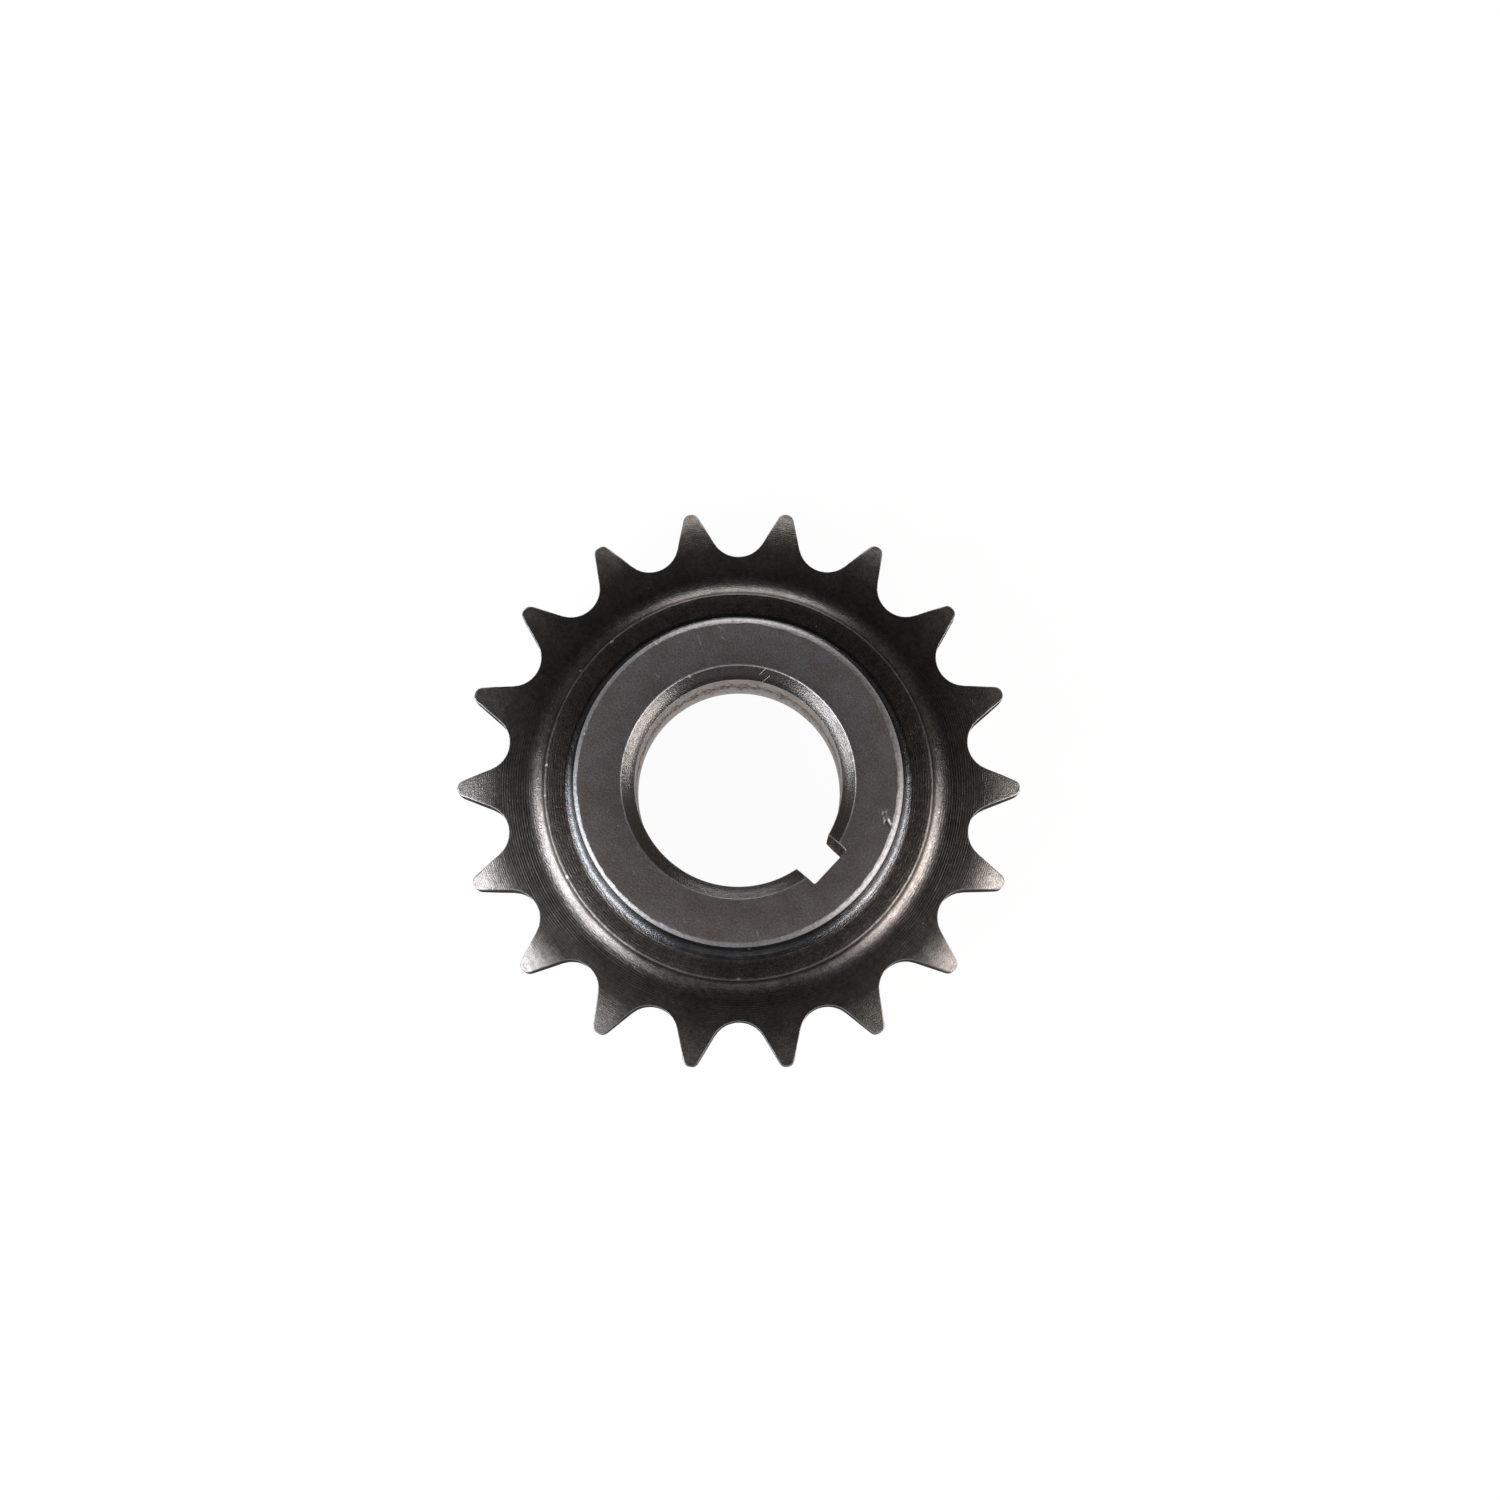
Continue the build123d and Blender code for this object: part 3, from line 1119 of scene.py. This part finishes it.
def turned_steel():
    material, shader, tree = new_steel("turned steel", 0.37, anisotropy=0.2)
    place, radius, direction = places(tree)
    marks = by_radius(tree, radius, turned_low, turned_high, turned_marks)
    upward = towards_top(tree, direction)
    fades = {index: remap(tree, upward, 0.2, 1.0, 1.0, kept) for index, kept in enumerate(kept_at_top)}
    marks = shade(tree, marks, add_node(tree, "CombineXYZ", fades).outputs[0])
    grain_share, wide_share, fine_share = add_node(tree, "SeparateColor", {0: marks}).outputs
    slow = ring_noise(tree, radius, direction, 1.2, 0.35)
    strength = remap(tree, ring_noise(tree, radius, direction, 4.0, 2.2), 0.3, 0.7, 0.55, 1.2)
    rough_stops = [(stop, (roughness, 0, 0)) for stop, roughness in turned_roughness]
    roughness = by_radius(tree, radius, turned_low, turned_high, rough_stops)
    tree.links.new(first_of(tree, roughness), shader.inputs["Roughness"])
    wide = calc(tree, "MULTIPLY", wide_share, strength)
    wide = feed_marks(tree, radius, slow, wide_feed, wide)
    fine = calc(tree, "MULTIPLY", fine_share, strength)
    fine = feed_marks(tree, radius, slow, fine_feed, fine)
    grain = grain_noise(tree, place, 5.5, 1.0)
    streaks = ring_noise(tree, radius, direction, 26.0, 5.5, 1.0)
    add_bump(
        tree,
        shader,
        calc(tree, "MULTIPLY", radius, -tan(outward_lean)),
        calc(tree, "MULTIPLY", wide, 0.019),
        calc(tree, "MULTIPLY", fine, 0.010),
        calc(tree, "MULTIPLY", calc(tree, "MULTIPLY", grain, grain_share), 0.05),
        calc(tree, "MULTIPLY", calc(tree, "MULTIPLY", streaks, grain_share), 0.03),
    )
    colour = by_radius(tree, radius, turned_low, turned_high, turned_colours)
    clouds = remap(tree, grain_noise(tree, place, 0.28, 4.0), 0.35, 0.65, 0.8, 1.15)
    speckle = remap(tree, grain_noise(tree, place, 5.5, 1.0), 0.3, 0.7, -0.5, 0.5)
    speckle = calc(tree, "MULTIPLY_ADD", speckle, grain_share, 1.0)
    mottle = remap(tree, grain_noise(tree, place, 1.4, 3.0), 0.35, 0.65, 0.8, 1.2)
    colour = shade(tree, shade(tree, shade(tree, colour, clouds), speckle), mottle)
    rust = remap(tree, grain_noise(tree, place, 0.9, 3.0), 0.52, 0.75, 0.0, 0.5)
    colour = blend_colours(tree, rust, colour, (0.133, 0.097, 0.077, 1))
    bright = flecks(tree, place, 0.45, 0.07, 0.3)
    colour = blend_colours(tree, bright, colour, (0.9, 0.88, 0.86, 1))
    tree.links.new(colour, shader.inputs["Base Color"])
    return material


keep_finish("turned", turned_steel())

# %% [markdown]
# A few thin scratches cross the hub's face and its chamfer.  Each is a line from one place to
# another, and the distance to that line says where the scratch lies.  Both places are given
# as degrees round from the keyway and distance from the axis, judged like the knocks.

# %% Scratches
Scratch = namedtuple("Scratch", "angle radius to_angle to_radius")
face_scratches = [
    Scratch(319.8, 20.5, 320.4, 21.4),
    Scratch(290.8, 20.0, 292.1, 20.6),
    Scratch(170.3, 18.6, 170.0, 18.1),
    Scratch(169.5, 17.5, 169.0, 17.1),
    Scratch(175.6, 21.8, 176.4, 22.0),
    Scratch(148.4, 21.0, 148.2, 19.3),
    Scratch(140.3, 21.75, 139.0, 21.3),
    Scratch(139.5, 20.2, 138.1, 19.7),
    Scratch(243.6, 17.25, 243.2, 17.7),
    Scratch(263.7, 18.9, 264.6, 19.15),
    Scratch(262.4, 17.4, 263.3, 17.5),
]
chamfer_scratches = [
    Scratch(119.8, 16.1, 122.0, 15.3),
    Scratch(116.8, 15.4, 120.0, 14.4),
]


def polar(angle, radius):
    """A flat place from degrees round from the keyway and distance from the axis."""
    return Vector((radius * cos(radians(angle)), radius * sin(radians(angle)), 0))


def scratch_mask(tree, place, scratches, width):
    """1 in the middle of each scratch, and 0 away from them.  Width is in millimetres."""
    flat = vector_calc(tree, "MULTIPLY", place, (1, 1, 0))
    total = None
    for scratch in scratches:
        start = polar(scratch.angle, scratch.radius)
        way = polar(scratch.to_angle, scratch.to_radius) - start
        offset = vector_calc(tree, "SUBTRACT", flat, tuple(start))
        along = vector_calc(tree, "DOT_PRODUCT", offset, tuple(way / way.length_squared))
        along = calc(tree, "ADD", along, 0.0, clamp=True)
        nearest = vector_calc(tree, "SCALE", tuple(way))
        tree.links.new(along, nearest.node.inputs["Scale"])
        distance = vector_calc(tree, "DISTANCE", offset, nearest)
        mask = remap(tree, distance, 0.2 * width, 0.6 * width, 1, 0)
        total = mask if total is None else calc(tree, "MAXIMUM", total, mask)
    return total


print(f"{len(face_scratches)} scratches on the face, {len(chamfer_scratches)} on the chamfer")

# %% [markdown]
# The hub's face is matt, perhaps because it was blasted or pickled: a fine, even grain with
# soft clouds and no rings.  Its grey varies at random between brown and blue, and on top of
# that it is painted bluer towards the top of the view and browner towards its foot, as painted
# light.  Blending two shades of one colour keeps that change gentle.


# %% Faced steel
def faced_steel():
    material, shader, tree = new_steel("faced steel", 0.6)
    place, radius, direction = places(tree)
    grain = grain_noise(tree, place, 2.8, 4.0)
    scratch = scratch_mask(tree, place, face_scratches, 0.2)
    add_bump(
        tree,
        shader,
        calc(tree, "MULTIPLY", grain, 0.055),
        calc(tree, "MULTIPLY", scratch, -0.01),
    )
    clouds = remap(tree, grain_noise(tree, place, 0.35, 4.0), 0.36, 0.64, 0, 1)
    colour = blend_colours(tree, clouds, (0.177, 0.165, 0.159, 1), (0.208, 0.207, 0.212, 1))
    tinge = remap(tree, grain_noise(tree, place, 2.4, 3.0), 0.35, 0.65, 0, 1)
    # Painted light: the tint is pushed to blue towards the top of the view and to brown at its foot.
    tinge = calc(tree, "MULTIPLY_ADD", towards_top(tree, direction), 0.45, tinge)
    brown = shade(tree, colour, (1.07, 0.99, 0.93))
    blue = shade(tree, colour, (0.97, 1.0, 1.05))
    colour = blend_colours(tree, tinge, brown, blue)
    speckle = remap(tree, grain_noise(tree, place, 4.0, 3.0), 0.3, 0.7, 0.66, 1.34)
    colour = shade(tree, colour, speckle)
    colour = shade(tree, colour, remap(tree, radius, 16.0, 22.0, 0.84, 1.10))
    worn_away = remap(tree, grain_noise(tree, place, 2.5, 2.0), 0.4, 0.6, 0.0, 0.4)
    scratch = calc(tree, "MULTIPLY", scratch, worn_away)
    pale = calc(tree, "MAXIMUM", scratch, flecks(tree, place, 0.55, 0.06, 0.35))
    colour = blend_colours(tree, pale, colour, (0.75, 0.75, 0.76, 1))
    tree.links.new(colour, shader.inputs["Base Color"])
    return material


keep_finish("faced", faced_steel())

# %% [markdown]
# Rims and edges are where a sprocket gets rubbed bright: the black is gone from them, and the
# steel is slightly battered.  A coarse noise breaks the bright line up, as real edges are, and
# short ticks cross it.  Towards the top of the view the colour is also painted up to half as
# light again, as painted light.


# %% Rubbed steel, with painted light
def rubbed_steel():
    material, shader, tree = new_steel("rubbed steel", 0.48)
    place, radius, direction = places(tree)
    batter = grain_noise(tree, place, 2.6, 3.0)
    ticks = ring_noise(tree, radius, direction, 95.0, 0.8)
    add_bump(
        tree,
        shader,
        calc(tree, "MULTIPLY", batter, 0.045),
        calc(tree, "MULTIPLY", ticks, 0.01),
    )
    colour = blend_colours(
        tree,
        remap(tree, grain_noise(tree, place, 3.0, 3.0), 0.35, 0.6, 0, 1),
        (0.222, 0.222, 0.228, 1),
        (0.305, 0.311, 0.326, 1),
    )
    # Painted light: the colour is made up to 1.5 times as light towards the top of the view.
    bare = remap(tree, towards_top(tree, direction), 0.3, 1.0, 1.0, 1.5)
    colour = shade(tree, shade(tree, colour, bare), remap(tree, ticks, 0.3, 0.7, 0.88, 1.12))
    tree.links.new(colour, shader.inputs["Base Color"])
    return material


keep_finish("rubbed", rubbed_steel())

# %% [markdown]
# Inside the bore there are three finishes.  The first is the chamfer's: it was turned and
# handled, and it is speckled, with two dark scratches across it.


# %% Chamfered steel
def chamfered_steel():
    material, shader, tree = new_steel("chamfered steel", 0.29)
    place, radius, direction = places(tree)
    grain = grain_noise(tree, place, 4.5, 1.0)
    streaks = ring_noise(tree, radius, direction, per_turn=10.0, per_mm=4.0, detail=1.0)
    scratch = scratch_mask(tree, place, chamfer_scratches, 0.16)
    add_bump(
        tree,
        shader,
        calc(tree, "MULTIPLY", grain, 0.034),
        calc(tree, "MULTIPLY", streaks, 0.008),
        calc(tree, "MULTIPLY", scratch, -0.03),
    )
    speckle = remap(tree, grain_noise(tree, place, 6.5, 1.0), 0.3, 0.7, 0.6, 1.4)
    colour = shade(tree, (0.131, 0.129, 0.127), speckle)
    colour = blend_colours(tree, scratch, colour, (0.055, 0.048, 0.044, 1))
    tree.links.new(colour, shader.inputs["Base Color"])
    return material


keep_finish("chamfered", chamfered_steel())

# %% [markdown]
# The bore's wall has a dark, pitted line at half its depth.
# The line is no metal to look at, so it is rough and the metal share drops to nothing in it.
# Its noises are drawn out along the bore, the way that the shaft slid.


# %% Bored steel
stain_height = 9.8


def bored_steel():
    material, shader, tree = new_steel("bored steel", 0.45, edge_tint=0.8)
    place = places(tree)[0]
    height = add_node(tree, "SeparateXYZ", {0: place}).outputs[2]
    drawn_out = vector_calc(tree, "MULTIPLY", place, (1, 1, 0.35))
    grain = grain_noise(tree, drawn_out, 3.0, 3.0)
    uneven = remap(tree, grain_noise(tree, drawn_out, 0.7, 4.0), 0.3, 0.7, -2.2, 2.2)
    from_line = calc(tree, "ADD", calc(tree, "SUBTRACT", height, stain_height), uneven)
    from_line = calc(tree, "ABSOLUTE", from_line)
    broken = remap(tree, grain_noise(tree, drawn_out, 2.6, 2.0), 0.42, 0.6, 0.25, 1.0)
    line = calc(tree, "MULTIPLY", remap(tree, from_line, 0.4, 2.6, 0.8, 0.0), broken)
    pits = remap(tree, grain_noise(tree, drawn_out, 2.2, 2.0), 0.55, 0.63, 0, 1)
    pits = calc(tree, "MULTIPLY", pits, remap(tree, from_line, 1.5, 5.0, 1.0, 0.2))
    dark = calc(tree, "MAXIMUM", line, pits)
    add_bump(
        tree,
        shader,
        calc(tree, "MULTIPLY", grain, 0.02),
        calc(tree, "MULTIPLY", pits, -0.03),
    )
    speckle = remap(tree, grain_noise(tree, drawn_out, 3.4, 2.0), 0.3, 0.7, 0.75, 1.25)
    low_down = remap(tree, height, 2.0, 7.0, 1, 0)
    colour = blend_colours(tree, low_down, (0.228, 0.182, 0.153, 1), (0.292, 0.265, 0.247, 1))
    colour = shade(tree, colour, speckle)
    colour = blend_colours(tree, dark, colour, (0.05, 0.03, 0.022, 1))
    tree.links.new(colour, shader.inputs["Base Color"])
    tree.links.new(calc(tree, "SUBTRACT", 1.0, dark), shader.inputs["Metallic"])
    tree.links.new(remap(tree, dark, 0, 1, 0.45, 0.9), shader.inputs["Roughness"])
    return material


keep_finish("bored", bored_steel())

# %% [markdown]
# The broach tore the keyway's walls a little, and they kept the most finish: dark brown, with
# paler torn places towards the back.


# %% Broached steel
def broached_steel():
    material, shader, tree = new_steel("broached steel", 0.6, edge_tint=0.3)
    place = places(tree)[0]
    height = add_node(tree, "SeparateXYZ", {0: place}).outputs[2]
    drawn_out = vector_calc(tree, "MULTIPLY", place, (1, 1, 0.25))
    torn = grain_noise(tree, drawn_out, 2.2, 3.0)
    add_bump(tree, shader, calc(tree, "MULTIPLY", torn, 0.06))
    pale = remap(tree, grain_noise(tree, drawn_out, 3.0, 2.0), 0.5, 0.64, 0, 1)
    pale = calc(tree, "MULTIPLY", pale, remap(tree, height, 2.0, 12.0, 1.0, 0.35))
    colour = blend_colours(tree, pale, (0.075, 0.048, 0.040, 1), (0.50, 0.40, 0.35, 1))
    tree.links.new(colour, shader.inputs["Base Color"])
    return material


keep_finish("broached", broached_steel())

# %% [markdown]
# The cutter left the flanks and seats of the teeth with fine lines that run across them, from
# front to back, and a brown tinge.  Stretching the noise along the axis draws the lines.


# %% Cut steel
def cut_steel():
    material, shader, tree = new_steel("cut steel", 0.5, edge_tint=0.0)
    place = places(tree)[0]
    drawn_out = vector_calc(tree, "MULTIPLY", place, (1, 1, 0.08))
    lines = grain_noise(tree, drawn_out, 3.5, 3.0)
    add_bump(tree, shader, calc(tree, "MULTIPLY", lines, 0.03))
    tone = remap(tree, grain_noise(tree, place, 0.35, 3.0), 0.35, 0.65, 0, 1)
    colour = blend_colours(tree, tone, (0.075, 0.066, 0.061, 1), (0.108, 0.099, 0.093, 1))
    colour = shade(tree, colour, remap(tree, lines, 0.3, 0.7, 0.75, 1.25))
    speckle = remap(tree, grain_noise(tree, place, 4.0, 2.0), 0.3, 0.7, 0.85, 1.15)
    tree.links.new(shade(tree, colour, speckle), shader.inputs["Base Color"])
    return material


keep_finish("cut", cut_steel())

# %% [markdown]
# The back was turned like the front, and it has a plainer version of that finish: one feed
# for the whole of it, a slighter lean, and soft clouds of wear.


# %% Plain turned steel
def plain_turned_steel():
    material, shader, tree = new_steel("plain turned steel", 0.38, anisotropy=0.3)
    place, radius, direction = places(tree)
    slow = ring_noise(tree, radius, direction, 1.2, 0.35)
    strength = remap(tree, ring_noise(tree, radius, direction, 4.0, 1.2), 0.3, 0.7, 0.3, 1.2)
    marks = feed_marks(tree, radius, slow, 0.4, strength)
    grain = grain_noise(tree, place, 4.0, 2.0)
    add_bump(
        tree,
        shader,
        calc(tree, "MULTIPLY", radius, -tan(0.5 * outward_lean)),
        calc(tree, "MULTIPLY", marks, 0.009),
        calc(tree, "MULTIPLY", grain, 0.012),
    )
    clouds = remap(tree, grain_noise(tree, place, 0.3, 4.0), 0.35, 0.65, 0, 1)
    colour = blend_colours(tree, clouds, (0.13, 0.122, 0.116, 1), (0.172, 0.165, 0.160, 1))
    speckle = remap(tree, grain_noise(tree, place, 5.0, 1.0), 0.3, 0.7, 0.8, 1.2)
    tree.links.new(shade(tree, colour, speckle), shader.inputs["Base Color"])
    return material


keep_finish("plain turned", plain_turned_steel())

# %% [markdown]
# Each face already carries the number of its finish, counted in the order of the finishes'
# names.  So the materials go on the mesh in that same order.

# %% Finishes on the piece
for finish in finish_names:
    mesh.materials.append(finish_materials[finish])
print("on the piece:", ", ".join(material.name for material in mesh.materials))

# %% [markdown]
# The floor is white paper, one large face that the sprocket lies on.

# %% Floor
floor_half = 3.0  # metres
floor_mesh = bpy.data.meshes.new("floor")
quarters = ((-1, -1), (1, -1), (1, 1), (-1, 1))
floor_corners = [(x * floor_half, y * floor_half, 0) for x, y in quarters]
floor_mesh.from_pydata(floor_corners, [], [(0, 1, 2, 3)])
floor = bpy.data.objects.new("floor", floor_mesh)
bpy.context.scene.collection.objects.link(floor)
print(f"floor {2 * floor_half:.0f} m square")

# %% [markdown]
# To the camera, and close to the sprocket in mirror-like reflections, the paper shows as plain
# white by a glow of its own.  A small matt share is left, so that it still takes the
# sprocket's shadow, and matt surfaces are lit by the paper as they would be by real paper.
# The Light Path node tells which kind of ray has arrived.

# %% White paper
camera_glow = 0.96
paper_white = 0.9
camera_matt = 0.08  # how much of that white the camera sees lit by the lamps
mirror_near, mirror_far = 0.09, 0.22  # metres from the axis between which reflections fade

paper = bpy.data.materials.new("white paper")
paper.use_nodes = True
tree = paper.node_tree
tree.nodes.clear()
path = add_node(tree, "LightPath")
camera_ray, glossy_ray = path.outputs["Is Camera Ray"], path.outputs["Is Glossy Ray"]
floor_place = add_node(tree, "TexCoord").outputs["Object"]
from_middle = add_node(tree, "VectorMath", {0: floor_place}, operation="LENGTH").outputs["Value"]
near_piece = remap(tree, from_middle, mirror_near, mirror_far, 1, 0)
mirrored = calc(tree, "MULTIPLY", glossy_ray, near_piece)
strength = calc(tree, "MAXIMUM", calc(tree, "MULTIPLY", camera_ray, camera_glow), mirrored)
glow = add_node(tree, "Emission", {"Color": (1, 1, 1, 1), "Strength": strength})
unseen = calc(tree, "MULTIPLY", camera_ray, paper_white - camera_matt)
matt_white = calc(tree, "SUBTRACT", paper_white, unseen)
matt_white = calc(tree, "SUBTRACT", matt_white, glossy_ray, clamp=True)
matt = add_node(tree, "BsdfDiffuse", {"Color": same_three(tree, matt_white)})
both = add_node(tree, "AddShader", {0: glow.outputs[0], 1: matt.outputs[0]})
add_node(tree, "OutputMaterial", {0: both.outputs[0]})
floor_mesh.materials.append(paper)
print(f"paper: white {paper_white}, of which the camera sees {camera_matt} as matt")

# %% [markdown]
# Polished and turned metal has hardly a colour of its own: it shows the lamps.  So the lamps
# stand low round the sprocket, where its slopes can mirror them.  A cool softbox is on the
# left, a warm one on the right, and weak reflectors stand above and below.  The coves, rims
# and tooth tips that lean towards a lamp light up, and the flats stay dark.  The places, sizes
# and strengths, and the room's brightness, were fitted together, by least squares, to how
# bright the real sprocket looks all round.  They were then rounded and adjusted.


# %% Lamps
lamp_distance = 0.75  # metres from the sprocket


def softbox(name, azimuth, low_edge, high_edge, width, radiance, colour):
    """A rectangular lamp that faces the sprocket.  Angles are in degrees.

    azimuth is counted from the view's right, low_edge and high_edge are the elevations of
    the lower and upper edges, and width is the angle that the lamp spans sideways.
    """
    elevation = radians((low_edge + high_edge) / 2)
    turn = radians(azimuth + view_turn)
    lamp = bpy.data.lights.new(name, "AREA")
    lamp.shape = "RECTANGLE"
    lamp.size = 2 * lamp_distance * tan(radians(width / 2))
    lamp.size_y = 2 * lamp_distance * tan(radians((high_edge - low_edge) / 2))
    lamp.energy = radiance * pi * lamp.size * lamp.size_y
    lamp.color = colour
    holder = bpy.data.objects.new(name, lamp)
    bpy.context.scene.collection.objects.link(holder)
    way = Vector((cos(elevation) * cos(turn), cos(elevation) * sin(turn), sin(elevation)))
    holder.location = way * lamp_distance
    holder.rotation_mode = "QUATERNION"
    holder.rotation_quaternion = way.to_track_quat("Z", "Y")
    print(f"{name}: {lamp.size:.2f} by {lamp.size_y:.2f} m, {lamp.energy:.1f} W")


softbox("cool softbox", 204.6, 0.3, 37.0, 47.5, 8.4, (0.99, 0.985, 1.0))
softbox("warm softbox", 336.6, 0.3, 33.5, 44, 7.4, (1.0, 0.925, 0.88))
softbox("top reflector", 89.3, 0.3, 17, 44, 4.0, (1.0, 0.95, 0.92))
softbox("front reflector", 272, 0.5, 26, 44, 0.3, (1.0, 0.96, 0.94))

# %% [markdown]
# The rest of the room is dim.  It is darkest overhead, where the camera is, and a little
# lighter and warmer low down.  The metal mirrors that, while to the camera itself the room is
# as white as the paper, so that there is no horizon.

# %% Room
overhead = (0.004, 0.003, 0.003, 1)
low_down = (0.19, 0.172, 0.158, 1)
dark_from = 0.872  # sine of the elevation above which the room is darkest
gathering = 0.59  # under 1, the light low down spreads upward

world = bpy.data.worlds.new("dim studio")
bpy.context.scene.world = world
world.use_nodes = True
tree = world.node_tree
sky = add_node(tree, "SeparateXYZ", {0: add_node(tree, "TexCoord").outputs["Generated"]})
low_share = calc(tree, "POWER", remap(tree, sky.outputs[2], 0.0, dark_from, 1.0, 0.0), gathering)
room_colour = blend_colours(tree, low_share, overhead, low_down)
camera_ray = add_node(tree, "LightPath").outputs["Is Camera Ray"]
room_colour = blend_colours(tree, camera_ray, room_colour, (1, 1, 1, 1))
tree.links.new(room_colour, tree.nodes["Background"].inputs["Color"])
print(f"room: {overhead[1]} overhead, {low_down[1]} low down")

# %% [markdown]
# The camera looks almost straight down the bore, from a little below the middle, so that the
# upper wall of the bore just shows.  Its place and its lens were fitted to the outline of the
# teeth, with the plate's thickness held at the standard value.

# %% Camera
camera_data = bpy.data.cameras.new("camera")
camera_data.sensor_width = 36
camera_data.lens = 87.77
camera = bpy.data.objects.new("camera", camera_data)
bpy.context.scene.collection.objects.link(camera)
camera.location = (0.03474, -0.03293, 0.5190)
camera.rotation_euler = (radians(5.955), radians(0.158), radians(view_turn - 0.055))
bpy.context.scene.camera = camera
bpy.context.scene.view_settings.view_transform = "Standard"
print(f"camera {camera.location.z:.2f} m above the floor, {camera_data.lens:.0f} mm lens")
